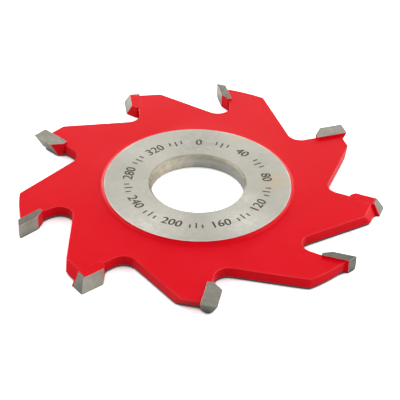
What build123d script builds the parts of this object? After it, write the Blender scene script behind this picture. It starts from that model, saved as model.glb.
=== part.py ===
from build123d import *
from math import acos, atan2, cos, hypot, radians, sin, sqrt, tan
import os

# Grooving cutter with nine brazed tips
# Origin: on the bore axis, halfway through the hub. +Z: up along the bore axis
# Lengths in mm, angles in degrees, the cutter turns anticlockwise seen from above
# The outlines below are drawn for the first tooth, near the +Y axis, and turned round to the others

# Driving dimensions of the plate and the hub
cutter_diameter = 140.0
bore_diameter = 35.0
bore_chamfer = 0.8
hub_diameter = 70.0
hub_thickness = 6.2
hub_blend_radius = 2.0
plate_thickness = 4.0

# Driving dimensions of the teeth
tooth_count = 9
gullet_radius = 5.0
gullet_drop = 2.6
gullet_center_angle = 82.54
back_edge_angle = 109.6
rear_corner_radius = 1.0

# Raker tips: a straight prism, narrower than the groove, with relief behind its edge
raker_drop = 0.4
raker_edge_angle = 84.5
raker_lean = 13.9
raker_width = 5.6
raker_length = 12.0
raker_thickness = 3.2
raker_relief = 2.0
raker_chamfer_length = 3.5
raker_chamfer_depth = 1.8
raker_step = 1.4
raker_wall_set_back = 0.35
raker_heel_drop = 3.85
raker_heel_arc_radius = 66.0

# Spur tips: a block that reaches one side of the groove, with a sheared front and a bevelled flank
groove_width = 6.0
spur_edge_angle = 76.55
spur_lean = -31.0
spur_length = 12.3
spur_thickness = 6.0
spur_front_shear = 22.6
spur_flank_bevel = 26.5
spur_chamfer_length = 3.2
spur_chamfer_depth = 3.7
spur_wall_set_back = 0.9
upper_spur_step = 2.45
lower_spur_step = 1.65

# Sizes that follow from the ones above
cutter_radius = cutter_diameter / 2
tooth_pitch = 360 / tooth_count
hub_half = hub_thickness / 2
plate_half = plate_thickness / 2
hub_step = hub_half - plate_half
hub_blend_run = sqrt(2 * hub_blend_radius * hub_step - hub_step**2)
spur_width = groove_width / 2 + plate_half


def polar(radius, angle):
    """Point at a radius and an angle about the bore axis."""
    return (radius * cos(radians(angle)), radius * sin(radians(angle)))


def turned(point, angle):
    """Point turned about the bore axis."""
    x, y = point
    c, s = cos(radians(angle)), sin(radians(angle))
    return (c * x - s * y, s * x + c * y)


def on_tip(corner, lean, along, behind):
    """Point at a distance inward along a tip's front face and a distance behind that face."""
    c, s = cos(radians(lean)), sin(radians(lean))
    return (corner[0] + along * s + behind * c, corner[1] - along * c + behind * s)


def touch_from(point, center, radius):
    """Point where a line from a point touches a circle, on the circle's rear side."""
    dx, dy = point[0] - center[0], point[1] - center[1]
    angle = atan2(dy, dx) - acos(radius / hypot(dx, dy))
    return (center[0] + radius * cos(angle), center[1] + radius * sin(angle))


def crossing(point_a, angle_a, point_b, angle_b):
    """Point where two lines cross, each given by a point and an angle."""
    ax, ay = cos(radians(angle_a)), sin(radians(angle_a))
    bx, by = cos(radians(angle_b)), sin(radians(angle_b))
    dx, dy = point_b[0] - point_a[0], point_b[1] - point_a[1]
    run = (dx * by - dy * bx) / (ax * by - ay * bx)
    return (point_a[0] + run * ax, point_a[1] + run * ay)


def reach(point, angle, radius):
    """Point where a line leaves a circle about the bore axis."""
    ux, uy = cos(radians(angle)), sin(radians(angle))
    along = point[0] * ux + point[1] * uy
    run = sqrt(along**2 - hypot(*point) ** 2 + radius**2) - along
    return (point[0] + run * ux, point[1] + run * uy)


# Corners of the raker tip
raker_corner = polar(cutter_radius - raker_drop, raker_edge_angle)
raker_chamfer_start = on_tip(raker_corner, raker_lean, raker_length - raker_chamfer_length, 0)
raker_toe = on_tip(raker_corner, raker_lean, raker_length, raker_chamfer_depth)
raker_root = on_tip(raker_corner, raker_lean, raker_length, raker_thickness)
raker_rear = on_tip(raker_corner, raker_lean, raker_relief, raker_thickness)
raker_outline = [raker_corner, raker_chamfer_start, raker_toe, raker_root, raker_rear]

# Corners of the spur tip at its wide side
spur_corner = polar(cutter_radius, spur_edge_angle)
spur_chamfer_start = on_tip(spur_corner, spur_lean, spur_length - spur_chamfer_length, 0)
spur_toe = on_tip(spur_corner, spur_lean, spur_length, spur_chamfer_depth)
spur_root = on_tip(spur_corner, spur_lean, spur_length, spur_thickness)
spur_rear = on_tip(spur_corner, spur_lean, 0, spur_thickness)
spur_outline = [spur_corner, spur_chamfer_start, spur_toe, spur_root, spur_rear]

# Gullet circle below the deeper root of the tips, and the back edge that rises from the gullet behind
gullet_center_radius = min(hypot(*raker_root), hypot(*spur_root)) - gullet_drop
gullet_center = polar(gullet_center_radius, gullet_center_angle)
rear_gullet_center = turned(gullet_center, -tooth_pitch)
back_normal = radians(back_edge_angle - 90)
back_start = (
    rear_gullet_center[0] - gullet_radius * cos(back_normal),
    rear_gullet_center[1] - gullet_radius * sin(back_normal),
)

# Steel around each kind of tip: its seat, the end of the heel and the foot of the front wall
raker_wall_top = on_tip(raker_corner, raker_lean, raker_length, raker_chamfer_depth + raker_wall_set_back)
raker_foot = on_tip(raker_corner, raker_lean, raker_relief + raker_step, raker_thickness)
spur_wall_top = on_tip(spur_corner, spur_lean, spur_length, spur_chamfer_depth + spur_wall_set_back)
upper_foot = on_tip(spur_corner, spur_lean, upper_spur_step, spur_thickness)
lower_foot = on_tip(spur_corner, spur_lean, lower_spur_step, spur_thickness)
seats = {
    "raker": [raker_wall_top, raker_root, raker_foot],
    "lower_spur": [spur_wall_top, spur_root, lower_foot],
    "upper_spur": [spur_wall_top, spur_root, upper_foot],
}
rear_corners = {
    "raker": reach(back_start, back_edge_angle, cutter_radius - raker_heel_drop),
    "lower_spur": crossing(lower_foot, spur_lean, back_start, back_edge_angle),
    "upper_spur": crossing(upper_foot, spur_lean, back_start, back_edge_angle),
}
touches = {kind: touch_from(seat[0], gullet_center, gullet_radius) for kind, seat in seats.items()}

# Order of the teeth, anticlockwise seen from above
tooth_kinds = ["raker", "lower_spur", "upper_spur"]
teeth = [(index * tooth_pitch, tooth_kinds[index % len(tooth_kinds)]) for index in range(tooth_count)]

# Steel body: toothed plate with a thicker ground hub, the teeth's heels and the tip seats
with BuildPart() as cutter_body:
    with BuildSketch(Plane.XY.offset(-plate_half)) as plate_outline:
        with BuildLine():
            for angle, kind in teeth:
                gullet_start = turned(back_start, angle + tooth_pitch)
                gullet_end = turned(touches[kind], angle)
                RadiusArc(gullet_start, gullet_end, -gullet_radius)
                Polyline(gullet_end, *[turned(point, angle) for point in seats[kind]])
                heel_start = turned(seats[kind][-1], angle)
                heel_end = turned(rear_corners[kind], angle)
                if kind == "raker":
                    RadiusArc(heel_start, heel_end, raker_heel_arc_radius)
                else:
                    Line(heel_start, heel_end)
                Line(heel_end, turned(back_start, angle))
        make_face()
    extrude(amount=plate_thickness)

    # Spur heels slope inward from the wide side of their tip
    for angle, kind in teeth:
        if kind == "raker":
            continue
        wide_side = 1 if kind == "upper_spur" else -1
        lean = spur_lean + angle
        foot = turned(seats[kind][-1], angle)
        heel_plane = Plane(
            origin=(foot[0], foot[1], wide_side * plate_half),
            x_dir=(sin(radians(lean)), -cos(radians(lean)), 0),
            z_dir=(-cos(radians(lean)), -sin(radians(lean)), 0),
        )
        slope_run = tan(radians(spur_flank_bevel)) * plate_thickness
        with BuildSketch(heel_plane):
            with BuildLine():
                Polyline(
                    (-slope_run, wide_side * plate_thickness),
                    (2 * slope_run, -2 * wide_side * plate_thickness),
                    (-2 * slope_run, -2 * wide_side * plate_thickness),
                    close=True,
                )
            make_face()
        extrude(amount=-2 * gullet_radius, mode=Mode.SUBTRACT)

    # Rear corners of the teeth are rounded
    rear_edges = []
    for angle, kind in teeth:
        corner = turned(rear_corners[kind], angle)
        upright = cutter_body.edges().filter_by(lambda edge: abs(edge.tangent_at(0.5).Z) > 0.5)
        rear_edges.append(upright.sort_by_distance((corner[0], corner[1], 0))[0])
    fillet(rear_edges, radius=rear_corner_radius)

    # Hub with flat ground faces and a concave blend down to the plate
    with BuildSketch(Plane.XZ) as hub_section:
        with BuildLine():
            blend_end = hub_diameter / 2 + hub_blend_run
            Line((0, hub_half), (hub_diameter / 2, hub_half))
            RadiusArc((hub_diameter / 2, hub_half), (blend_end, plate_half), -hub_blend_radius)
            Line((blend_end, plate_half), (blend_end, 0))
            Line((blend_end, 0), (0, 0))
            Line((0, 0), (0, hub_half))
        make_face()
        mirror(about=Plane.XZ)
    revolve(axis=Axis.Z)

    # Bore with a chamfer at both rims
    Cylinder(bore_diameter / 2, hub_thickness, mode=Mode.SUBTRACT)
    bore_rims = cutter_body.edges().filter_by(
        lambda edge: edge.geom_type == GeomType.CIRCLE and abs(edge.radius - bore_diameter / 2) < 0.01
    )
    chamfer(bore_rims, length=bore_chamfer)

cutter_body.part.label = "cutter_body"

# Brazed tips, one solid each, seated face to face in the body
tips = []
for number, (angle, kind) in enumerate(teeth):
    label = f"{kind}_tip_{number // len(tooth_kinds) + 1}"
    if kind == "raker":
        with BuildPart() as tip:
            with BuildSketch(Plane.XY.offset(-raker_width / 2)):
                with BuildLine():
                    Polyline(*[turned(point, angle) for point in raker_outline], close=True)
                make_face()
            extrude(amount=raker_width)
    else:
        wide_side = 1 if kind == "upper_spur" else -1
        lean = radians(spur_lean + angle)
        shear = radians(spur_front_shear)
        bevel = radians(spur_flank_bevel)
        corner = turned(spur_corner, angle)
        wide_corner = (corner[0], corner[1], wide_side * groove_width / 2)
        front_plane = Plane(
            origin=wide_corner,
            z_dir=(cos(shear) * cos(lean), cos(shear) * sin(lean), wide_side * sin(shear)),
        )
        flank_plane = Plane(
            origin=wide_corner,
            z_dir=(cos(bevel) * sin(lean), -cos(bevel) * cos(lean), wide_side * sin(bevel)),
        )
        with BuildPart() as tip:
            with BuildSketch(Plane.XY.offset(wide_side * groove_width / 2)):
                with BuildLine():
                    Polyline(*[turned(point, angle) for point in spur_outline], close=True)
                make_face()
            extrude(amount=-wide_side * spur_width)
            split(bisect_by=front_plane, keep=Keep.TOP)
            split(bisect_by=flank_plane, keep=Keep.TOP)
    tip.part.label = label
    tips.append(tip)

os.makedirs("parts", exist_ok=True)
export_step(cutter_body.part, "parts/cutter_body.step")
for tip in tips:
    export_step(tip.part, f"parts/{tip.part.label}.step")
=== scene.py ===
"""Visual model of a grooving cutter.

It is a red painted toothed plate with a bare ground hub and nine brazed hard tips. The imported
CAD model is the frame. Each CAD node is replaced by a finer piece of the same size, with
softened edges, its own finish, and the marks that grinding and etching leave.
"""

import logging  # noqa: E402
import math  # noqa: E402
from collections.abc import Iterable, Sequence  # noqa: E402
from dataclasses import dataclass  # noqa: E402
from enum import Enum, IntEnum  # noqa: E402
from functools import cache, reduce  # noqa: E402
from typing import ClassVar  # noqa: E402

import bmesh  # noqa: E402
import bpy  # noqa: E402
from mathutils import Matrix, Vector  # noqa: E402


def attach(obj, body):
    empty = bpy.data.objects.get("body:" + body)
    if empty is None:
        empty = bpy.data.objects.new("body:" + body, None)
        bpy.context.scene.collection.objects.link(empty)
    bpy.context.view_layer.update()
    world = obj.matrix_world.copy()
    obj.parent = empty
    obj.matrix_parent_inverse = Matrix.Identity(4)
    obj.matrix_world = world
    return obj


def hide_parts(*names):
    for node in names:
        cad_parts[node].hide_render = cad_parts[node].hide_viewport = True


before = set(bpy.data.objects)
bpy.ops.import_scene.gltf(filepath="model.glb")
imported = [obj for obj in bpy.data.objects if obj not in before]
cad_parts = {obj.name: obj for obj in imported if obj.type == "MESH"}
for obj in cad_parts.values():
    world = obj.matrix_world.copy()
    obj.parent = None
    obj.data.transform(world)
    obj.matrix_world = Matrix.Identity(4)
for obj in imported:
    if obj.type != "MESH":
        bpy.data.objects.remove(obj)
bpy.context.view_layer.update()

MM = 0.001
FULL_TURN = 2 * math.pi
HUB_HALF = 3.1 * MM
ROUND_STEPS = 240
BEVEL_WEIGHTS = "bevel_weight_edge"
WEAR = "wear"
log = logging.getLogger("grooving_cutter")

Colour = tuple[float, float, float]
Point = tuple[float, float, float]
Span = tuple[float, float]
Spans = tuple[Span, Span]
Socket = bpy.types.NodeSocket
Material = bpy.types.Material
Piece = bpy.types.Object
Mesh = bpy.types.Mesh
Shell = bmesh.types.BMesh
Vert = bmesh.types.BMVert
Face = bmesh.types.BMFace
Ring = list[Vert]

WHITE: Colour = (1.0, 1.0, 1.0)
EVEN: Point = (1.0, 1.0, 1.0)


# Node graphs


def set_all(target: object, **values: object) -> None:
    """Sets properties of a node, a modifier or another of Blender's things by their names."""
    for name, value in values.items():
        setattr(target, name, value)


def rgba(colour: Colour) -> tuple[float, float, float, float]:
    """A colour with full alpha, as Blender's colour sockets take it."""
    return (*colour, 1.0)


@dataclass(frozen=True)
class Grain:
    """A noise pattern: cells to the millimetre, octaves, weight of the finer ones, and stretch.

    A turned grain is made of lines round the axis.
    """

    scale: float
    octaves: float = 3.0
    fineness: float = 0.5
    stretch: Point = EVEN
    turned: bool = False


@dataclass(frozen=True)
class Stain:
    """A soft patch of colour, a real discolouring in some places and painted light and shade in
    others: its middle and reach in millimetres, how much of it shows, and its colour.
    """

    place: Point
    reach: float
    strength: float
    tone: Colour


Tones = tuple[Colour, Colour]
Grains = tuple[tuple[Grain, float], ...]
Feeds = dict[str | int, object]
Fixed = tuple[tuple[str, object], ...]

MIDDLE: Span = (0.3, 0.7)
BLOTCHES = Grain(0.5, 4.0, 0.6)
BLOTCH_RANGE: Span = (0.3, 1.0)
METAL: Fixed = (("Metallic", 1.0),)


class Graph:
    """A node tree, with short calls for the nodes that the finishes and the surround share."""

    def __init__(self, tree: bpy.types.NodeTree) -> None:
        """Takes over the node tree of a material or of the world, and empties it."""
        self.nodes, self.links = tree.nodes, tree.links
        self.nodes.clear()

    def add(self, kind: str, feeds: Feeds | None = None, **settings: object) -> bpy.types.Node:
        """Adds a node, sets its properties and feeds its inputs.

        Args:
            kind: the node's type name.
            feeds: sockets or plain values, by the inputs' names or numbers.
            settings: property values by name.

        Returns:
            The new node.
        """
        node = self.nodes.new(kind)
        set_all(node, **settings)
        self.feed(node, feeds or {})
        return node

    def feed(self, node: bpy.types.Node, feeds: Feeds) -> None:
        """Links or sets the inputs of a node.

        Args:
            node: the node.
            feeds: sockets or plain values, by the inputs' names or numbers.
        """
        for key, value in feeds.items():
            target = node.inputs[key]
            if isinstance(value, Socket):
                self.links.new(value, target)
            else:
                target.default_value = rgba(value) if target.type == "RGBA" else value

    @cache
    def place(self, stretch: Point = EVEN) -> Socket:
        """Object coordinates in millimetres.

        Args:
            stretch: factors along X, Y and Z.

        Returns:
            The vector socket.
        """
        coords = self.add("ShaderNodeTexCoord").outputs["Object"]
        scale = [s / MM for s in stretch]
        return self.add("ShaderNodeMapping", {"Vector": coords, "Scale": scale}).outputs["Vector"]

    def height(self, where: Socket) -> Socket:
        """The Z part of a vector."""
        return self.add("ShaderNodeSeparateXYZ", {0: where}).outputs["Z"]

    def distance(self, point: Point, stretch: Point = EVEN) -> Socket:
        """Distance of the stretched place from a point, in millimetres."""
        feeds = {0: self.place(stretch), 1: point}
        return self.add("ShaderNodeVectorMath", feeds, operation="DISTANCE").outputs["Value"]

    def radius(self) -> Socket:
        """Distance from the cutter's axis, in millimetres."""
        return self.distance((0.0, 0.0, 0.0), (1.0, 1.0, 0.0))

    @cache
    def noise(self, grain: Grain) -> Socket:
        """A noise pattern's value.

        Args:
            grain: the pattern.

        Returns:
            The value socket.
        """
        where = self.place(grain.stretch)
        feeds = {"Scale": grain.scale, "Detail": grain.octaves, "Roughness": grain.fineness}
        feeds |= {"W": self.height(where)} if grain.turned else {"Vector": where}
        kind = "1D" if grain.turned else "3D"
        return self.add("ShaderNodeTexNoise", feeds, noise_dimensions=kind).outputs["Fac"]

    def ramp(self, value: Socket, places: Iterable[float], colours: Sequence[Colour]) -> Socket:
        """A colour ramp.

        Args:
            value: the socket that drives it.
            places: where the colours stand, from 0 to 1.
            colours: the colours.

        Returns:
            The colour socket.
        """
        ramp = self.add("ShaderNodeValToRGB", {"Fac": value})
        stops = ramp.color_ramp.elements
        while len(stops) < len(colours):
            stops.new(0.5)
        for stop, place, colour in zip(stops, places, colours):
            set_all(stop, position=place, color=rgba(colour))
        return ramp.outputs["Color"]

    def span(self, value: Socket, result: Span, source: Span = MIDDLE) -> Socket:
        """A value mapped from a source range to a result range, and held within it."""
        feeds = dict(enumerate((value, *source, *result)))
        return self.add("ShaderNodeMapRange", feeds).outputs["Result"]

    def blend(self, factor: object, first: object, second: object, mode: str = "MIX") -> Socket:
        """Two colours mixed by a factor. Each of the three is a socket or a plain value."""
        feeds = {0: factor, 6: first, 7: second}
        return self.add("ShaderNodeMix", feeds, data_type="RGBA", blend_type=mode).outputs[2]

    def sums(self, operation: str, first: Socket, second: object) -> Socket:
        """A math node on a socket and a second one or a number."""
        return self.add("ShaderNodeMath", {0: first, 1: second}, operation=operation).outputs[0]

    def mixture(self, grains: Grains) -> Socket:
        """Noise patterns added up by their weights."""
        values = [self.sums("MULTIPLY", self.noise(grain), weight) for grain, weight in grains]
        return reduce(lambda total, value: self.sums("ADD", total, value), values)

    def stained(self, colour: Socket, stains: Iterable[Stain]) -> Socket:
        """Lays soft blotchy patches over a colour: real discolouring, painted light and painted
        shade.

        Args:
            colour: the colour under them.
            stains: the patches, from the lowest to the topmost.

        Returns:
            The colour socket.
        """
        for patch in stains:
            near = self.span(self.distance(patch.place), (patch.strength, 0.0), (0.0, patch.reach))
            blotch = self.span(self.noise(BLOTCHES), BLOTCH_RANGE)
            colour = self.blend(self.sums("MULTIPLY", near, blotch), colour, patch.tone)
        return colour


class SurfaceGraph(Graph):
    """The node graph of one new material, with its Principled shader."""

    def __init__(self, name: str) -> None:
        """Makes the material, and lays the shader and the output.

        Args:
            name: the material's name.
        """
        self.material = bpy.data.materials.new(name)
        self.material.use_nodes = True
        super().__init__(self.material.node_tree)
        self.shader = self.add("ShaderNodeBsdfPrincipled")
        self.add("ShaderNodeOutputMaterial", {"Surface": self.shader.outputs["BSDF"]})

    def cover(self, colour: Socket, rough: Socket, relief: Socket, depth: float) -> None:
        """Gives the surface its colour, roughness and fine relief.

        Args:
            colour: the colour.
            rough: the roughness.
            relief: the height of the relief, about 0 to 1.
            depth: depth in metres for a height of 1.
        """
        bump = self.add("ShaderNodeBump", {"Strength": 1.0, "Distance": depth, "Height": relief})
        feeds = {"Base Color": colour, "Roughness": rough, "Normal": bump.outputs["Normal"]}
        self.feed(self.shader, feeds)

    def openness(self, samples: int, reach: float) -> Socket:
        """How open a place is within a reach in metres: 0 under the cutter, 1 in the clear."""
        shelter = self.add("ShaderNodeAmbientOcclusion", {"Distance": reach}, samples=samples)
        return shelter.outputs["AO"]


# Finishes


@dataclass(frozen=True, kw_only=True)
class Finish:
    """A procedural finish whose tones, roughness and relief follow its weighted grains.

    The ends are the values of the grains at which the first and the second tone, or roughness,
    stand. Plain values of the shader are fixed.
    """

    name: str
    tones: Tones
    tone_ends: Span
    grains: Grains
    roughness: Span
    rough_grain: Grain | None = None
    rough_ends: Span = MIDDLE
    relief_grain: Grain | None = None
    relief_depth: float
    stains: tuple[Stain, ...] = ()
    fixed: Fixed = ()

    def build(self) -> Material:
        """Builds the material.

        Returns:
            The material.
        """
        graph = SurfaceGraph(self.name)
        mixed = graph.mixture(self.grains)
        colour = self._layered(graph, graph.ramp(mixed, self.tone_ends, self.tones))
        rough = graph.noise(self.rough_grain) if self.rough_grain else mixed
        relief = graph.noise(self.relief_grain) if self.relief_grain else mixed
        rough = graph.span(rough, self.roughness, self.rough_ends)
        graph.cover(colour, rough, relief, self.relief_depth)
        graph.feed(graph.shader, dict(self.fixed))
        return graph.material

    def _layered(self, graph: SurfaceGraph, colour: Socket) -> Socket:
        """The colour with all that lies over the plain tones."""
        return graph.stained(colour, self.stains)


@dataclass(frozen=True, kw_only=True)
class RedPaint(Finish):
    """Sprayed gloss paint with a fine orange peel and a little unevenness of tone."""

    name: str = "red_paint"
    tones: Tones = ((0.69, 0.0004, 0.010), (0.71, 0.0008, 0.012))
    tone_ends: Span = (0.34, 0.62)
    grains: Grains = ((Grain(0.045, 2.0), 1.0),)
    roughness: Span = (0.28, 0.33)
    rough_grain: Grain = Grain(0.22, 2.0)
    relief_grain: Grain = Grain(0.55, 1.0, 0.4)
    relief_depth: float = 0.0006 * MM
    fixed: Fixed = (("Specular IOR Level", 0.1), ("Specular Tint", (1.0, 0.84, 0.6)))

    @classmethod
    def on_edges(cls) -> "RedPaint":
        """The same paint where it is drawn thin over an edge: glossier, and paler as a painted
        highlight.
        """
        tones = (0.72, 0.012, 0.022), (0.80, 0.055, 0.055)
        return cls(name="red_paint_on_edges", tones=tones, roughness=(0.18, 0.28))


HUB_GRAIN = Grain(1.1, 4.0, 0.7)
WARM_STAIN: Colour = (0.60, 0.46, 0.29)
# Painted shade and painted reflection: darker and lighter patches on the hub's face for how its
# turned surface shows the lamps.
PAINTED_SHADE_PATCH: Colour = (0.40, 0.395, 0.365)
PAINTED_REFLECTION_PATCH: Colour = (0.72, 0.71, 0.67)


@dataclass(frozen=True, kw_only=True)
class GroundSteel(Finish):
    """Ground bare steel of the hub: straight fine lines, soft clouds, a bright rim that is partly
    worn and partly a painted highlight, warm discolouring, and patches of painted reflection and
    painted shade.
    """

    name: str = "ground_steel"
    tones: Tones = ((0.46, 0.45, 0.412), (0.565, 0.552, 0.512))
    tone_ends: Span = (0.34, 0.62)
    grains: Grains = ((Grain(1.0, 4.0, 0.65, (0.06, 1.6, 1.0)), 0.3), (HUB_GRAIN, 0.7))
    roughness: Span = (0.36, 0.5)
    rough_grain: Grain = HUB_GRAIN
    relief_depth: float = 0.0025 * MM
    fixed: Fixed = METAL
    cloud: Grain = Grain(0.085, 3.0, 0.55, (0.7, 1.0, 1.0))
    cloud_tone: Colour = (0.47, 0.46, 0.427)
    cloud_map: Spans = ((0.0, 0.75), (0.46, 0.66))
    # A bright rim near the hub's edge: partly worn steel, partly a painted highlight.
    worn_tone: Colour = (0.78, 0.765, 0.73)
    worn_band: Span = (34.35, 34.6)
    worn_map: Spans = ((0.75, 0.1), (0.4, 0.62))
    stains: tuple[Stain, ...] = (
        Stain((29.0, 2.0, 3.1), 8.0, 0.7, WARM_STAIN),
        Stain((15.0, 29.5, 3.1), 5.0, 0.5, WARM_STAIN),
        Stain((0.0, 26.0, 3.1), 17.0, 1.6, PAINTED_SHADE_PATCH),
        Stain((24.0, 14.0, 3.1), 14.0, 0.9, PAINTED_SHADE_PATCH),
        Stain((-27.0, 5.0, 3.1), 13.0, 0.7, PAINTED_SHADE_PATCH),
        Stain((-18.0, -27.0, 3.1), 17.0, 1.15, PAINTED_REFLECTION_PATCH),
        Stain((17.0, -23.0, 3.1), 15.0, 1.2, PAINTED_REFLECTION_PATCH),
        Stain((19.0, -9.5, 3.1), 7.0, 0.8, PAINTED_REFLECTION_PATCH),
    )

    def _layered(self, graph: SurfaceGraph, colour: Socket) -> Socket:
        """Lays the clouds, the worn rim with its painted highlight, and the warm discolouring and
        the patches of painted reflection and shade over the plain tones.

        Args:
            graph: the material's graph.
            colour: the plain tones.

        Returns:
            The colour socket.
        """
        cloud = graph.noise(self.cloud)
        colour = graph.blend(graph.span(cloud, *self.cloud_map), colour, self.cloud_tone)
        rim = graph.span(graph.radius(), (0.0, 1.0), self.worn_band)
        worn = graph.sums("MULTIPLY", rim, graph.span(cloud, *self.worn_map))
        return graph.stained(graph.blend(worn, colour, self.worn_tone), self.stains)


FEED_LINES = Grain(2.2, 3.0, turned=True)
BORE_CLOUD = Grain(0.3, 4.0, 0.6)


@dataclass(frozen=True, kw_only=True)
class TurnedBore(Finish):
    """Bored steel with fine feed lines round the axis, painted light in a warm patch on one side
    and a grey one on the other, and painted shading from mouth to mouth.
    """

    name: str = "turned_bore"
    tones: Tones = ((0.34, 0.34, 0.32), (0.44, 0.44, 0.415))
    tone_ends: Span = (0.36, 0.62)
    grains: Grains = ((FEED_LINES, 0.6), (BORE_CLOUD, 0.4))
    roughness: Span = (0.3, 0.46)
    rough_grain: Grain = BORE_CLOUD
    relief_grain: Grain = FEED_LINES
    relief_depth: float = 0.006 * MM
    fixed: Fixed = METAL
    # Painted light: a warm, much lighter patch on the left of the wall and a lighter grey one on
    # the right.
    stains: tuple[Stain, ...] = (
        Stain((-13.0, 12.0, 0.0), 15.0, 1.5, (0.87, 0.775, 0.62)),
        Stain((16.0, 8.0, 0.6), 11.0, 1.3, (0.58, 0.575, 0.545)),
    )
    mouths: Span = (-2.3, 2.3)
    # Painted shading: the wall lighter toward the lower mouth and darker toward the upper.
    shades: Tones = ((1.22, 1.2, 1.16), (0.84, 0.84, 0.8))

    def _layered(self, graph: SurfaceGraph, colour: Socket) -> Socket:
        """Lays the painted light patches over the plain tones, and paints shading on the wall from
        mouth to mouth, lighter below and darker above.

        Args:
            graph: the material's graph.
            colour: the plain tones.

        Returns:
            The colour socket.
        """
        risen = graph.span(graph.height(graph.place()), (0.0, 1.0), self.mouths)
        shade = graph.ramp(risen, (0.0, 1.0), self.shades)
        return graph.blend(1.0, graph.stained(colour, self.stains), shade, "MULTIPLY")


PAINTED_SHADE_BROWN: Colour = (0.2, 0.18, 0.13)


@dataclass(frozen=True, kw_only=True)
class ChamferSteel(Finish):
    """The turned chamfers at the mouths of the bore, brownish, with painted shade in dark brown on
    the left and right.
    """

    name: str = "chamfer_steel"
    tones: Tones = ((0.42, 0.39, 0.295), (0.52, 0.495, 0.40))
    tone_ends: Span = (0.4, 0.62)
    grains: Grains = ((Grain(0.35, 3.0, 0.6), 1.0),)
    roughness: Span = (0.6, 0.72)
    relief_grain: Grain = Grain(3.0)
    relief_depth: float = 0.003 * MM
    fixed: Fixed = METAL
    # Painted shade: dark brown patches on the chamfers' left and right sides.
    stains: tuple[Stain, ...] = (
        Stain((-19.0, -4.0, 2.7), 18.0, 1.6, PAINTED_SHADE_BROWN),
        Stain((18.5, 2.0, 2.7), 11.0, 1.6, PAINTED_SHADE_BROWN),
    )


class TipFace(IntEnum):
    """Numbers of the finishes on a tip. The first six are ground hard metal, toned lighter or
    darker by face as painted light and shade.
    """

    SIDE = 0
    RAKER_SIDE = 1
    FRONT = 2
    RAKER_FRONT = 3
    FLANK = 4
    # Rounded edges of bare metal, toned pale as a painted glint.
    EDGE = 5
    PAINT = 6
    # Thin paint on rounded edges between painted faces, paler as a painted highlight.
    EDGE_PAINT = 7
    WORN = 8
    BRAZE = 9


# Painted light and shade: the same ground hard metal is toned face by face, lighter on raker
# fronts, darkest on flanks and raker sides, and palest on rounded edges as a painted glint.
LIT_AND_SHADED_GROUND_TONES: dict[TipFace, Tones] = {
    TipFace.SIDE: ((0.24, 0.23, 0.20), (0.35, 0.33, 0.295)),
    TipFace.RAKER_SIDE: ((0.155, 0.148, 0.125), (0.235, 0.222, 0.19)),
    TipFace.FRONT: ((0.25, 0.24, 0.20), (0.40, 0.38, 0.325)),
    TipFace.RAKER_FRONT: ((0.31, 0.295, 0.25), (0.47, 0.45, 0.39)),
    TipFace.FLANK: ((0.14, 0.14, 0.125), (0.25, 0.245, 0.22)),
    TipFace.EDGE: ((0.42, 0.41, 0.38), (0.60, 0.585, 0.55)),
}


@dataclass(frozen=True, kw_only=True)
class HardMetal(Finish):
    """Ground hard metal: dense and dark, with straight grinding lines and fine pores."""

    tone_ends: Span = (0.38, 0.6)
    grains: Grains = (
        (Grain(1.4, 5.0, 0.7, (0.5, 0.5, 4.0)), 0.4),
        (Grain(2.4, 4.0, 0.65), 0.3),
        (Grain(0.25, 2.0), 0.3),
    )
    roughness: Span = (0.52, 0.36)
    front_roughness: ClassVar[Span] = (0.4, 0.28)
    rough_ends: Span = (0.35, 0.65)
    relief_depth: float = 0.004 * MM
    fixed: Fixed = METAL

    @classmethod
    def of(cls, face: TipFace) -> "HardMetal":
        """The finish of one kind of ground face, with that face's painted light and shade in its
        tones. The fronts are the glossiest.

        Args:
            face: the kind of face.

        Returns:
            The finish.
        """
        front = face in (TipFace.FRONT, TipFace.RAKER_FRONT)
        roughness = cls.front_roughness if front else cls.roughness
        name = f"hard_metal_{face.name.lower()}"
        return cls(name=name, tones=LIT_AND_SHADED_GROUND_TONES[face], roughness=roughness)


@dataclass(frozen=True, kw_only=True)
class Braze(Finish):
    """The dull brown line of braze that shows beside a tip."""

    name: str = "braze"
    tones: Tones = ((0.20, 0.165, 0.06), (0.38, 0.32, 0.14))
    tone_ends: Span = (0.38, 0.62)
    grains: Grains = ((Grain(1.4, 3.0, 0.6), 1.0),)
    roughness: Span = (0.6, 0.4)
    relief_depth: float = 0.01 * MM


@dataclass(frozen=True, kw_only=True)
class EtchedMark(Finish):
    """The dark rough floor of an etched mark."""

    name: str = "etched_mark"
    tones: Tones = ((0.040, 0.031, 0.022), (0.085, 0.066, 0.046))
    tone_ends: Span = (0.4, 0.66)
    grains: Grains = ((Grain(4.0, 4.0, 0.7), 1.0),)
    roughness: Span = (0.55, 0.8)
    relief_depth: float = 0.01 * MM


@dataclass(frozen=True)
class WornPaint:
    """Paint ground through to dark metal along a cutting edge, with an uneven border."""

    paint: Colour = (0.60, 0.004, 0.014)
    bare: Colour = (0.085, 0.09, 0.07)
    blotch: Grain = Grain(1.6, 3.0, 0.6)
    uneven: float = 1.3
    border: Span = (1.05, 1.2)
    roughness: Span = (0.33, 0.5)
    paint_depth: float = 0.004 * MM

    def build(self) -> Material:
        """Builds the material.

        Returns:
            The material.
        """
        graph = SurfaceGraph("worn_paint")
        wear = graph.add("ShaderNodeAttribute", attribute_name=WEAR)
        uneven = graph.sums("MULTIPLY", graph.noise(self.blotch), self.uneven)
        bared = graph.span(graph.sums("ADD", uneven, wear.outputs["Fac"]), (0.0, 1.0), self.border)
        colour = graph.blend(bared, self.paint, self.bare)
        rough = graph.span(bared, self.roughness, (0.0, 1.0))
        graph.cover(colour, rough, bared, -self.paint_depth)
        return graph.material


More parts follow.
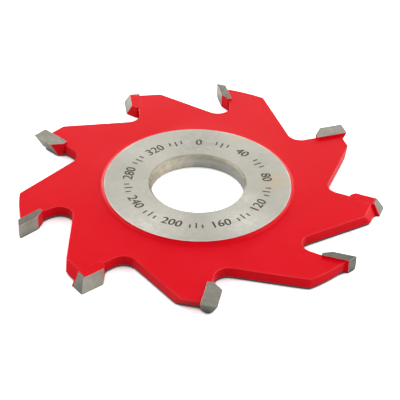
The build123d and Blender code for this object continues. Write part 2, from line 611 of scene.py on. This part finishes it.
@dataclass(frozen=True)
class StudioPaper:
    """White paper under the cutter. The camera and mirrored light see it white out of shadow; a
    painted contact shadow and painted shade darken it near the cutter.
    """

    tones: Tones = ((0.7486, 0.7486, 0.7486), (0.76, 0.76, 0.76))
    fibre: Grain = Grain(0.6)
    seen_tone: Colour = (1.62, 1.72, 1.72)
    # Painted contact shadow: close under the cutter's edges the camera sees the paper fall to this
    # tone.
    contact_tone: Colour = (0.06, 0.065, 0.065)
    contact_rays: tuple[int, float] = (32, 2.3 * MM)
    contact_ends: Span = (0.41, 0.57)
    # Painted shade: within this reach of the cutter, bounced and mirrored light see the paper
    # darker.
    shade_rays: tuple[int, float] = (4, 8.0 * MM)
    shade_map: Spans = ((0.9, 0.0), (0.25, 0.8))
    # The painted contact shadow is left out inside the bore, fading in over this band of radius.
    bore_light: Span = (18.3, 18.8)
    # The glow that lifts the paper to white fades with the painted contact shadow.
    glow_map: Spans = ((0.038, 0.19), (0.38, 0.56))
    fixed: Fixed = (("Roughness", 0.9), ("Specular IOR Level", 0.1), ("Emission Color", WHITE))

    def build(self) -> Material:
        """Builds the material.

        Returns:
            The material.
        """
        graph = SurfaceGraph("studio_paper")
        close = graph.openness(*self.contact_rays)
        around = graph.openness(*self.shade_rays)
        in_bore = graph.span(graph.radius(), (1.0, 0.0), self.bore_light)
        close = graph.sums("MAXIMUM", close, in_bore)
        # Painted contact shadow for the camera, and painted shade near the cutter for other rays.
        painted_shadow = graph.ramp(close, self.contact_ends, (self.contact_tone, self.seen_tone))
        paper = graph.ramp(graph.noise(self.fibre), MIDDLE, self.tones)
        paper = graph.blend(graph.span(around, *self.shade_map), paper, self.contact_tone)
        path = graph.add("ShaderNodeLightPath").outputs
        seen = graph.sums("MAXIMUM", path["Is Camera Ray"], path["Is Glossy Ray"])
        seen = graph.sums("MAXIMUM", seen, path["Is Transmission Ray"])
        glow = graph.sums("MULTIPLY", seen, graph.span(close, *self.glow_map))
        colour = graph.blend(path["Is Camera Ray"], paper, painted_shadow)
        feeds = {"Base Color": colour, "Emission Strength": glow}
        graph.feed(graph.shader, feeds | dict(self.fixed))
        return graph.material


# Mesh helpers


MERGE_DISTANCE = 0.001 * MM
FLAT_ANGLE = math.radians(0.3)


def object_of(name: str, data: bpy.types.ID) -> Piece:
    """Puts something into the scene.

    Args:
        name: the object's name.
        data: its mesh, text, light or camera.

    Returns:
        The new object.
    """
    piece = bpy.data.objects.new(name, data)
    bpy.context.scene.collection.objects.link(piece)
    return piece


def piece_of(name: str, shell: Shell, finishes: list[Material]) -> Piece:
    """Turns a bmesh into a piece with its materials, and frees it.

    Args:
        name: the piece's name.
        shell: the bmesh.
        finishes: the materials, in the order of the faces' material numbers.

    Returns:
        The piece.
    """
    mesh = bpy.data.meshes.new(name)
    shell.to_mesh(mesh)
    shell.free()
    for finish in finishes:
        mesh.materials.append(finish)
    return object_of(name, mesh)


def copy_of(node: str) -> Shell:
    """Copies a CAD node's mesh, with its points joined and its faces turned outwards.

    Args:
        node: the CAD node's name.

    Returns:
        The copy, in the row frame.
    """
    shell = bmesh.new()
    shell.from_mesh(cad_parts[node].data)
    bmesh.ops.remove_doubles(shell, verts=shell.verts, dist=MERGE_DISTANCE)
    bmesh.ops.recalc_face_normals(shell, faces=shell.faces)
    return shell


def make_whole(shell: Shell) -> None:
    """Makes the flat faces of a bmesh whole, where they are cut into triangles."""
    bmesh.ops.dissolve_limit(
        shell, angle_limit=FLAT_ANGLE, verts=shell.verts, edges=shell.edges, delimit=set()
    )


def ring_of(shell: Shell, radius: float, height: float, count: int) -> Ring:
    """Adds a ring of points round the cutter's axis, anticlockwise from +X."""
    angles = [FULL_TURN * k / count for k in range(count)]
    return [shell.verts.new((radius * math.cos(a), radius * math.sin(a), height)) for a in angles]


def band_of(shell: Shell, first: Ring, second: Ring) -> list[Face]:
    """Joins two rings of points with four-sided faces.

    Args:
        shell: the bmesh.
        first: one ring.
        second: the other.

    Returns:
        The faces.
    """
    pairs = list(zip(first, second))
    return [
        shell.faces.new((a, next_a, next_b, b))
        for (a, b), (next_a, next_b) in zip(pairs, pairs[1:] + pairs[:1])
    ]


def soften(piece: Piece, width: float, segments: int, finish: int) -> None:
    """Rounds the edges that carry a bevel weight.

    Args:
        piece: the object.
        width: the width for a weight of 1.
        segments: steps across the rounding.
        finish: number of the material on the rounding.
    """
    bevel = piece.modifiers.new("soft_edges", "BEVEL")
    set_all(bevel, limit_method="WEIGHT", offset_type="OFFSET", width=width, segments=segments)
    set_all(bevel, material=finish, use_clamp_overlap=False, harden_normals=True)


def mesh_now(piece: Piece) -> Mesh:
    """A new mesh of what an object shows, with its modifiers."""
    shown = piece.evaluated_get(bpy.context.evaluated_depsgraph_get())
    return bpy.data.meshes.new_from_object(shown)


def settle(piece: Piece) -> None:
    """Makes a piece's modifiers part of its mesh.

    Args:
        piece: the object.
    """
    mesh = mesh_now(piece)
    piece.modifiers.clear()
    old, piece.data = piece.data, mesh
    bpy.data.meshes.remove(old)
    mesh.name = piece.name


def radius_of(point: Vector) -> float:
    """Distance of a point from the cutter's axis."""
    return math.hypot(point.x, point.y)


# The toothed body


@dataclass
class PaintedBody:
    """The toothed plate with the painted slope up to the hub, on both sides."""

    finish: Material
    # The edge finish: thin paint on the rounded edges, paler as a painted highlight.
    edge_finish: Material
    hub_radius: float = 35.0 * MM
    hub_half: float = HUB_HALF
    plate_half: float = 2.0 * MM
    foot_radius: float = 36.786 * MM
    slope_radius: float = 2.0 * MM
    slope_steps: int = 9
    segments: int = ROUND_STEPS
    edge_width: float = 0.22 * MM
    edge_segments: int = 3
    inner_share: float = 0.45
    least_angle: float = math.radians(28.0)
    level_normal: float = 0.99
    near: float = 0.02 * MM

    def build(self) -> Piece:
        """Builds the painted part of the body.

        Returns:
            The piece.
        """
        shell = self._walls()
        upper = self._slope(shell, 1)
        lower = self._slope(shell, -1)
        band_of(shell, upper[0], lower[0])
        self._flat(shell, upper[-1], 1)
        self._flat(shell, lower[-1], -1)
        bmesh.ops.recalc_face_normals(shell, faces=shell.faces)
        self._weigh(shell)
        for face in shell.faces:
            face.smooth = True
        piece = piece_of("painted_body", shell, [self.finish, self.edge_finish])
        soften(piece, self.edge_width, self.edge_segments, 1)
        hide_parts("cutter_body")
        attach(piece, "root")
        return piece

    def _beyond_foot(self, vert: Vert) -> bool:
        """Whether a point lies outside the slope's foot."""
        return radius_of(vert.co) >= self.foot_radius + self.near

    def _on_flat(self, face: Face) -> bool:
        """Whether a face lies on a flat of the plate."""
        level = all(abs(abs(v.co.z) - self.plate_half) < self.near for v in face.verts)
        return level and abs(face.normal.z) > self.level_normal

    def _walls(self) -> Shell:
        """Takes the walls of the teeth and gullets from the CAD node.

        Returns:
            The walls, open above and below.
        """
        shell = copy_of("cutter_body")
        spare = [
            face
            for face in shell.faces
            if not any(map(self._beyond_foot, face.verts)) or self._on_flat(face)
        ]
        bmesh.ops.delete(shell, geom=spare, context="FACES")
        make_whole(shell)
        return shell

    def _slope(self, shell: Shell, side: int) -> list[Ring]:
        """Turns the painted slope on one side.

        Args:
            shell: the body's bmesh.
            side: 1 for the upper side and -1 for the lower.

        Returns:
            The rings of points from the hub's rim to the foot.
        """
        steepest = math.asin((self.foot_radius - self.hub_radius) / self.slope_radius)
        rings = []
        for step in range(self.slope_steps + 1):
            turn = steepest * (1 - step / self.slope_steps)
            radius = self.foot_radius - self.slope_radius * math.sin(turn)
            height = self.plate_half + self.slope_radius * (1 - math.cos(turn))
            height = side * min(height, self.hub_half)
            rings.append(ring_of(shell, radius, height, self.segments))
        for first, second in zip(rings, rings[1:]):
            band_of(shell, first, second)
        return rings

    def _flat(self, shell: Shell, foot: Ring, side: int) -> None:
        """Closes the plate's flat from the teeth's outline to the slope's foot, in two halves.

        Args:
            shell: the body's bmesh.
            foot: the ring of points at the slope's foot.
            side: 1 for the upper side and -1 for the lower.
        """
        outline = self._outline(shell, side)
        ends = [
            min(outline, key=lambda v: abs(math.atan2(v.co.y, way * v.co.x))) for way in (1, -1)
        ]
        for first, last in (ends, ends[::-1]):
            outer = self._run(outline, outline.index(first), outline.index(last))
            inner = self._run(foot, self._foot_number(first), self._foot_number(last))
            shell.faces.new(outer + inner[::-1])

    def _foot_number(self, vert: Vert) -> int:
        """Number of the point on the slope's foot that stands at a point's angle."""
        turn = math.atan2(vert.co.y, vert.co.x) % FULL_TURN
        return round(turn / FULL_TURN * self.segments) % self.segments

    def _run(self, ring: Ring, first: int, last: int) -> Ring:
        """The points of a ring from one number to another, both included, wrapping round."""
        count = (last - first) % len(ring)
        return [ring[(first + k) % len(ring)] for k in range(count + 1)]

    def _outline(self, shell: Shell, side: int) -> Ring:
        """The open edge of the walls on one side.

        Args:
            shell: the body's bmesh.
            side: 1 for the upper side and -1 for the lower.

        Returns:
            Its points, anticlockwise from above.
        """
        after: dict[Vert, Ring] = {}
        rim = [
            edge
            for edge in shell.edges
            if edge.is_boundary
            and all(v.co.z * side > 0 and self._beyond_foot(v) for v in edge.verts)
        ]
        for edge in rim:
            for one, other in (edge.verts, reversed(edge.verts)):
                after.setdefault(one, []).append(other)
        loop = list(rim[0].verts)
        while loop[-1] != loop[0]:
            loop.append(next(v for v in after[loop[-1]] if v != loop[-2]))
        area = sum(a.co.x * b.co.y - b.co.x * a.co.y for a, b in zip(loop, loop[1:]))
        loop.pop()
        return loop if area > 0 else loop[::-1]

    def _weigh(self, shell: Shell) -> None:
        """Gives the sharp edges of the plate their bevel weights.

        Args:
            shell: the body's bmesh.
        """
        weights = shell.edges.layers.float.new(BEVEL_WEIGHTS)
        for edge in shell.edges:
            bend = edge.calc_face_angle_signed(0.0)
            if abs(bend) < self.least_angle:
                continue
            edge.smooth = False
            if any(radius_of(v.co) >= self.hub_radius + self.near for v in edge.verts):
                edge[weights] = 1.0 if bend > 0 else self.inner_share


@dataclass
class DegreeDial:
    """Plain degree numbers, one to a tooth, with short strokes between, etched into the hub."""

    mean_radius: float = 26.0 * MM
    digit_height: float = 5.2 * MM
    digit_weight: float = 0.12 * MM
    digit_spread: Point = (1.0, 0.6, 0.0)
    digit_steps: int = 3
    stroke_width: float = 0.6 * MM
    stroke_end: float = 27.5 * MM
    strokes: tuple[Span, ...] = ((-5.0, 2.0 * MM), (0.0, 3.0 * MM), (5.0, 2.0 * MM))
    depth: float = 0.04 * MM
    face_height: float = HUB_HALF
    step: int = 40
    weld: float = 0.0005 * MM

    def cutter(self, mark: Material) -> Piece:
        """Builds the solid that is cut out of the hub's face.

        Args:
            mark: the finish of the marks' floor.

        Returns:
            The cutting object, which is removed after use.
        """
        solid = bmesh.new()
        for degrees in range(0, 360, self.step):
            self._number(solid, degrees)
            for offset, length in self.strokes:
                self._stroke(solid, degrees + self.step / 2 + offset, length)
        return piece_of("dial_marks", solid, [mark])

    def _place(self, degrees: float, radius: float, upright: bool) -> Matrix:
        """Where a mark stands.

        Args:
            degrees: angle on the dial, clockwise from the top.
            radius: distance of its middle from the axis.
            upright: True to turn it so that it reads from the nearer side.

        Returns:
            The matrix from the mark's own place to the hub.
        """
        angle = math.radians(90.0 - degrees)
        turn = angle - math.pi / 2
        if upright and 90.0 < degrees < 270.0:
            turn += math.pi
        place = (radius * math.cos(angle), radius * math.sin(angle), self.face_height)
        return Matrix.Translation(place) @ Matrix.Rotation(turn, 4, "Z")

    def _number(self, solid: Shell, degrees: int) -> None:
        """Adds one number, twice with a small shift, which gives it its weight.

        Args:
            solid: the bmesh that takes it.
            degrees: the number, and its place.
        """
        text = bpy.data.curves.new("dial_number", "FONT")
        set_all(text, body=str(degrees), align_x="CENTER", align_y="CENTER")
        set_all(text, size=self.digit_height, extrude=self.depth, resolution_u=self.digit_steps)
        holder = object_of("dial_number", text)
        digits = mesh_now(holder)
        place = self._place(degrees, self.mean_radius, True)
        for side in (-1, 1):
            mesh = digits.copy()
            shift = Vector(self.digit_spread) * side * self.digit_weight
            mesh.transform(place @ Matrix.Translation(shift))
            solid.from_mesh(mesh)
            bpy.data.meshes.remove(mesh)
        bpy.data.objects.remove(holder)
        bpy.data.curves.remove(text)
        bpy.data.meshes.remove(digits)
        bmesh.ops.remove_doubles(solid, verts=solid.verts, dist=self.weld)

    def _stroke(self, solid: Shell, degrees: float, length: float) -> None:
        """Adds one short radial stroke.

        Args:
            solid: the bmesh that takes it.
            degrees: its place on the dial.
            length: its length.
        """
        shape = Matrix.Diagonal((self.stroke_width, length, 2 * self.depth, 1.0))
        place = self._place(degrees, self.stroke_end - length / 2, False)
        bmesh.ops.create_cube(solid, size=1.0, matrix=place @ shape)


class HubFace(IntEnum):
    """Numbers of the finishes on the hub."""

    FACE = 0
    BORE = 1
    CHAMFER = 2
    MARK = 3


@dataclass
class GroundHub:
    """The bare hub: two ground faces, the bore, its chamfers, and the dial on the upper face."""

    finishes: list[Material]
    dial: DegreeDial
    rim_radius: float = 34.98 * MM
    bore_radius: float = 17.5 * MM
    chamfer: float = 0.8 * MM
    half: float = HUB_HALF
    break_edge: float = 0.06 * MM
    break_share: float = 0.7
    segments: int = ROUND_STEPS
    weld: float = 0.004 * MM
    level_normal: float = 0.999

    def build(self) -> Piece:
        """Builds the hub.

        Returns:
            The piece.
        """
        shell = bmesh.new()
        profile = self._profile()
        rings = [ring_of(shell, radius, height, self.segments) for radius, height, _ in profile]
        for (_, _, finish), first, second in zip(profile, rings, rings[1:] + rings[:1]):
            for face in band_of(shell, first, second):
                face.material_index = finish
                face.smooth = True
        bmesh.ops.recalc_face_normals(shell, faces=shell.faces)
        piece = piece_of("ground_hub", shell, self.finishes)
        self._etch(piece)
        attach(piece, "root")
        return piece

    def _profile(self) -> list[tuple[float, float, HubFace]]:
        """The closed section of the hub.

        Returns:
            Points of radius and height, each with the finish of the surface that follows.
        """
        face, bore, slope = HubFace.FACE, HubFace.BORE, HubFace.CHAMFER
        inside, outside = self.bore_radius, self.bore_radius + self.chamfer
        top, foot = self.half, self.half - self.chamfer
        edge, share = self.break_edge, self.break_edge * self.break_share
        upper = [
            (self.rim_radius, top, face),
            (outside + edge, top, slope),
            (outside - share, top - share, slope),
            (inside + share, foot + share, bore),
            (inside, foot - edge, bore),
        ]
        kinds = [bore, slope, slope, face, face]
        lower = [(x, -y, kind) for (x, y, _), kind in zip(reversed(upper), kinds)]
        return upper + lower

    def _etch(self, piece: Piece) -> None:
        """Cuts the dial's marks into the upper face.

        Args:
            piece: the hub.
        """
        cutter = self.dial.cutter(self.finishes[HubFace.MARK])
        cut = piece.modifiers.new("dial", "BOOLEAN")
        set_all(cut, operation="DIFFERENCE", solver="EXACT", material_mode="TRANSFER")
        set_all(cut, use_self=True, object=cutter)
        settle(piece)
        marks = cutter.data
        bpy.data.objects.remove(cutter)
        bpy.data.meshes.remove(marks)
        shell = bmesh.new()
        shell.from_mesh(piece.data)
        bmesh.ops.remove_doubles(shell, verts=shell.verts, dist=self.weld)
        bmesh.ops.dissolve_degenerate(shell, edges=shell.edges, dist=self.weld)
        for face in shell.faces:
            face.smooth = abs(face.normal.z) < self.level_normal
        shell.to_mesh(piece.data)
        shell.free()


# The tips


class TipKind(Enum):
    """The three kinds of tip, in the order in which they follow round the rim."""

    RAKER = "raker_tip"
    LOWER_SPUR = "lower_spur_tip"
    UPPER_SPUR = "upper_spur_tip"


FRONT_DIRECTIONS = {
    TipKind.RAKER: Vector((-0.97, -0.24, 0.0)),
    TipKind.LOWER_SPUR: Vector((-0.79, 0.48, 0.38)),
    TipKind.UPPER_SPUR: Vector((-0.79, 0.48, -0.38)),
}


@dataclass
class HardTip:
    """One brazed tip, bare where it was ground after painting and red where it wasn't."""

    kind: TipKind
    number: int
    tooth: int
    finishes: list[Material]
    tooth_pitch: float = math.radians(40.0)
    edge_width: float = 0.06 * MM
    edge_segments: int = 2
    strip_width: float = 0.7 * MM
    braze_width: float = 0.35 * MM
    rim_width: float = 0.9 * MM
    near: float = 0.01 * MM
    front_match: float = 0.97
    flank_match: float = 0.6
    side_match: float = 0.85

    @property
    def node(self) -> str:
        """The CAD node that this tip stands for."""
        return f"{self.kind.value}_{self.number}"

    @property
    def home(self) -> Matrix:
        """The turn that brings the tip's tooth to the place of the first, which is at +Y."""
        return Matrix.Rotation(-self.tooth_pitch * self.tooth, 3, "Z")

    def build(self) -> Piece:
        """Builds the tip.

        Returns:
            The piece.
        """
        shell = copy_of(self.node)
        make_whole(shell)
        weights = shell.edges.layers.float.new(BEVEL_WEIGHTS)
        for edge in shell.edges:
            edge[weights] = 1.0
            edge.smooth = False
        for face in shell.faces:
            face.smooth = True
            face.material_index = self._finish_of(self.home @ face.normal)
        if self.kind is TipKind.LOWER_SPUR:
            self._leave_strip(shell)
        if self.kind is not TipKind.RAKER:
            self._wear_rim(shell)
        piece = piece_of(f"{self.node}_ground", shell, self.finishes)
        # The rounded edges take the pale metal of a painted glint.
        soften(piece, self.edge_width, self.edge_segments, TipFace.EDGE)
        settle(piece)
        self._paint_edges(piece.data)
        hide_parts(self.node)
        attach(piece, "root")
        return piece

    def _finish_of(self, normal: Vector) -> TipFace:
        """The finish on a face.

        Args:
            normal: the face's direction, turned back to the first tooth.

        Returns:
            Bare metal on the front, the flank and the ground sides, and paint elsewhere.
        """
        raker = self.kind is TipKind.RAKER
        if normal.dot(FRONT_DIRECTIONS[self.kind]) > self.front_match:
            return TipFace.RAKER_FRONT if raker else TipFace.FRONT
        if normal.y > self.flank_match:
            return TipFace.FLANK
        bare_above = normal.z > self.side_match and self.kind is not TipKind.LOWER_SPUR
        bare_below = normal.z < -self.side_match and self.kind is not TipKind.UPPER_SPUR
        if bare_above or bare_below:
            return TipFace.RAKER_SIDE if raker else TipFace.SIDE
        return TipFace.PAINT

    def _paint_edges(self, mesh: Mesh) -> None:
        """Gives the rounded edges between painted faces the paler edge paint, a painted highlight,
        and wears those along a worn rim.

        Args:
            mesh: the tip's mesh with its rounded edges.
        """
        beside: dict[tuple[int, int], list[int]] = {}
        for face in mesh.polygons:
            for key in face.edge_keys:
                beside.setdefault(key, []).append(face.index)
        kinds = [face.material_index for face in mesh.polygons]
        for step in range(self.edge_segments):
            before = list(kinds)
            for face in mesh.polygons:
                if before[face.index] != TipFace.EDGE:
                    continue
                around = {before[n] for key in face.edge_keys for n in beside[key]}
                red = around <= {TipFace.PAINT, TipFace.EDGE_PAINT, TipFace.EDGE}
                if TipFace.WORN in around and step == 0:
                    kinds[face.index] = TipFace.WORN
                elif red and TipFace.PAINT in around:
                    kinds[face.index] = TipFace.EDGE_PAINT
        for face, kind in zip(mesh.polygons, kinds):
            face.material_index = kind

    def _split(self, shell: Shell, face: Face, place: Vector, across: Vector) -> None:
        """Cuts one face in two along the plane through a place and across a direction."""
        parts = [face, *face.edges, *face.verts]
        bmesh.ops.bisect_plane(shell, geom=parts, plane_co=place, plane_no=across)

    def _leave_strip(self, shell: Shell) -> None:
        """Leaves a strip of paint and a line of braze along the rear of the ground flank.

        Args:
            shell: the tip's bmesh.
        """
        rear = max(shell.faces, key=lambda f: (self.home @ f.normal).x)
        inward = -rear.normal
        edge = rear.calc_center_median()

        def flanks() -> dict[Face, float]:
            """The faces of the flank, with the distance of each from the rear face."""
            return {
                face: (face.calc_center_median() - edge).dot(inward)
                for face in shell.faces
                if (self.home @ face.normal).y > self.flank_match
            }

        for reach in (self.strip_width + self.braze_width, self.strip_width):
            nearest = min(flanks().items(), key=lambda pair: pair[1])[0]
            self._split(shell, nearest, edge + inward * reach, inward)
        for face, away in flanks().items():
            if away < self.strip_width:
                face.material_index = TipFace.PAINT
            elif away < self.strip_width + self.braze_width:
                face.material_index = TipFace.BRAZE

    def _wear_rim(self, shell: Shell) -> None:
        """Bares a narrow rim of the painted side along the flank.

        Args:
            shell: the tip's bmesh.
        """
        side = 1 if self.kind is TipKind.LOWER_SPUR else -1
        painted = max(shell.faces, key=lambda f: f.normal.z * side)
        flank = max(shell.faces, key=lambda f: (self.home @ f.normal).y)
        outward = Vector((flank.normal.x, flank.normal.y, 0.0)).normalized()
        furthest = max(v.co.dot(outward) for v in painted.verts)
        place = outward * (furthest - self.rim_width)
        self._split(shell, painted, place, outward)
        level = shell.verts.layers.float.new(WEAR)
        for vert in shell.verts:
            vert[level] = 1.0 if vert.co.dot(outward) > furthest - self.near else 0.0
        for face in shell.faces:
            outside = (face.calc_center_median() - place).dot(outward) > 0
            if outside and face.normal.z * side > self.side_match:
                face.material_index = TipFace.WORN


# The studio


WARM_LIGHT: Colour = (1.0, 0.965, 0.86)


@dataclass(frozen=True)
class Lamp:
    """A soft lamp. It is aimed at a height on the cutter's axis, all in metres."""

    name: str
    place: Point
    aim: float
    wide: float
    high: float
    brightness: float
    tone: Colour = WHITE

    def hang(self) -> None:
        """Hangs the lamp. A face with a brightness of 1 is white."""
        data = bpy.data.lights.new(self.name, "AREA")
        energy = self.brightness * math.pi * self.wide * self.high
        set_all(data, shape="RECTANGLE", size=self.wide, size_y=self.high)
        set_all(data, energy=energy, color=self.tone)
        lamp = object_of(self.name, data)
        lamp.location = self.place
        way = Vector((0.0, 0.0, self.aim)) - lamp.location
        lamp.rotation_euler = way.to_track_quat("-Z", "Y").to_euler()


@dataclass
class Studio:
    """Floor, lamps, surround and camera."""

    floor_height: float = -3.12 * MM
    floor_size: float = 4.0
    elevation: float = math.radians(37.3168)
    distance: float = 516.825 * MM
    aim: Span = (1.2625 * MM, -7.0302 * MM)
    roll: float = math.radians(1.6593)
    lens: float = 125.4208
    sensor: float = 36.0
    shift: float = 0.00125
    fill_level: float = 0.535
    surround_stops: tuple[float, ...] = (0.5, 0.7, 0.86)
    surround_levels: tuple[float, ...] = (0.8, 0.1, 0.5)
    lamps: tuple[Lamp, ...] = (
        Lamp("back_softbox", (0.0, 1.6, 0.42), 0.42, 2.4, 0.84, 2.65, WARM_LIGHT),
        Lamp("left_softbox", (-1.1, 0.1, 0.9), 0.0, 1.0, 1.0, 2.25),
        Lamp("right_softbox", (1.1, 0.1, 0.9), 0.0, 1.0, 1.0, 2.25),
        Lamp("right_strip", (1.27, 0.59, 0.16), 0.06, 0.8, 0.3, 7.5),
        Lamp("rear_strip", (-1.04, 0.94, 0.16), 0.06, 0.8, 0.3, 8.0),
        Lamp("front_strip", (0.9, -1.07, 0.35), 0.05, 0.6, 0.4, 3.4),
    )

    def build(self) -> None:
        """Builds everything round the object."""
        self._floor()
        self._surround()
        for lamp in self.lamps:
            lamp.hang()
        self._camera()

    def _floor(self) -> None:
        """Lays the paper under the cutter."""
        shell = bmesh.new()
        bmesh.ops.create_grid(shell, x_segments=1, y_segments=1, size=self.floor_size / 2)
        floor = piece_of("studio_floor", shell, [StudioPaper().build()])
        floor.location.z = self.floor_height

    def _surround(self) -> None:
        """Makes the world: white for the camera, even for matt surfaces, graded for mirrors."""
        world = bpy.data.worlds.new("studio_surround")
        world.use_nodes = True
        bpy.context.scene.world = world
        graph = Graph(world.node_tree)
        path = graph.add("ShaderNodeLightPath")
        rise = graph.height(graph.add("ShaderNodeTexCoord").outputs["Generated"])
        greys = [(level,) * 3 for level in self.surround_levels]
        graded = graph.ramp(rise, self.surround_stops, greys)
        seen, mirrored, white = (
            graph.add("ShaderNodeBackground", {"Color": colour}).outputs[0]
            for colour in ((self.fill_level,) * 3, graded, WHITE)
        )
        for ray, shade in (("Glossy", mirrored), ("Transmission", white), ("Camera", white)):
            feeds = {0: path.outputs[f"Is {ray} Ray"], 1: seen, 2: shade}
            seen = graph.add("ShaderNodeMixShader", feeds).outputs[0]
        graph.add("ShaderNodeOutputWorld", {"Surface": seen})

    def _camera(self) -> None:
        """Sets the camera at the photograph's angle."""
        back = Vector((0.0, -math.cos(self.elevation), math.sin(self.elevation)))
        level = Vector((1.0, 0.0, 0.0))
        rise = Vector((0.0, math.sin(self.elevation), math.cos(self.elevation)))
        right = level * math.cos(self.roll) + rise * math.sin(self.roll)
        up = rise * math.cos(self.roll) - level * math.sin(self.roll)
        place = Vector((*self.aim, 0.0)) + back * self.distance
        turned = Matrix((right, up, back)).transposed().to_4x4()
        data = bpy.data.cameras.new("photo_camera")
        set_all(data, sensor_width=self.sensor, lens=self.lens)
        set_all(data, shift_x=-self.shift, shift_y=self.shift)
        camera = object_of("photo_camera", data)
        camera.matrix_world = Matrix.Translation(place) @ turned
        bpy.context.scene.camera = camera
        bpy.context.scene.view_settings.view_transform = "Standard"


@dataclass
class GroovingCutter:
    """The whole cutter: body, hub and nine tips."""

    tooth_count: int = 9

    def build(self) -> None:
        """Builds and reports all pieces in order."""
        # The edge paint is thin paint on rounded edges, paler as a painted highlight.
        paint, highlighted_edge_paint = RedPaint().build(), RedPaint.on_edges().build()
        metals = [HardMetal.of(face).build() for face in LIT_AND_SHADED_GROUND_TONES]
        tip_finishes = [*metals, paint, highlighted_edge_paint, WornPaint().build(), Braze().build()]
        self._report(PaintedBody(paint, highlighted_edge_paint).build())
        steels = (GroundSteel(), TurnedBore(), ChamferSteel(), EtchedMark())
        self._report(GroundHub([steel.build() for steel in steels], DegreeDial()).build())
        kinds = list(TipKind)
        for tooth in range(self.tooth_count):
            number, kind = divmod(tooth, len(kinds))
            self._report(HardTip(kinds[kind], number + 1, tooth, tip_finishes).build())

    def _report(self, piece: Piece) -> None:
        """Reports a piece."""
        log.info("%s is built, with %d faces in its mesh", piece.name, len(piece.data.polygons))


def main() -> None:
    """Builds the cutter and the studio."""
    logging.basicConfig(level=logging.INFO, format="%(name)s: %(message)s")
    GroovingCutter().build()
    Studio().build()


if __name__ == "__main__":
    main()
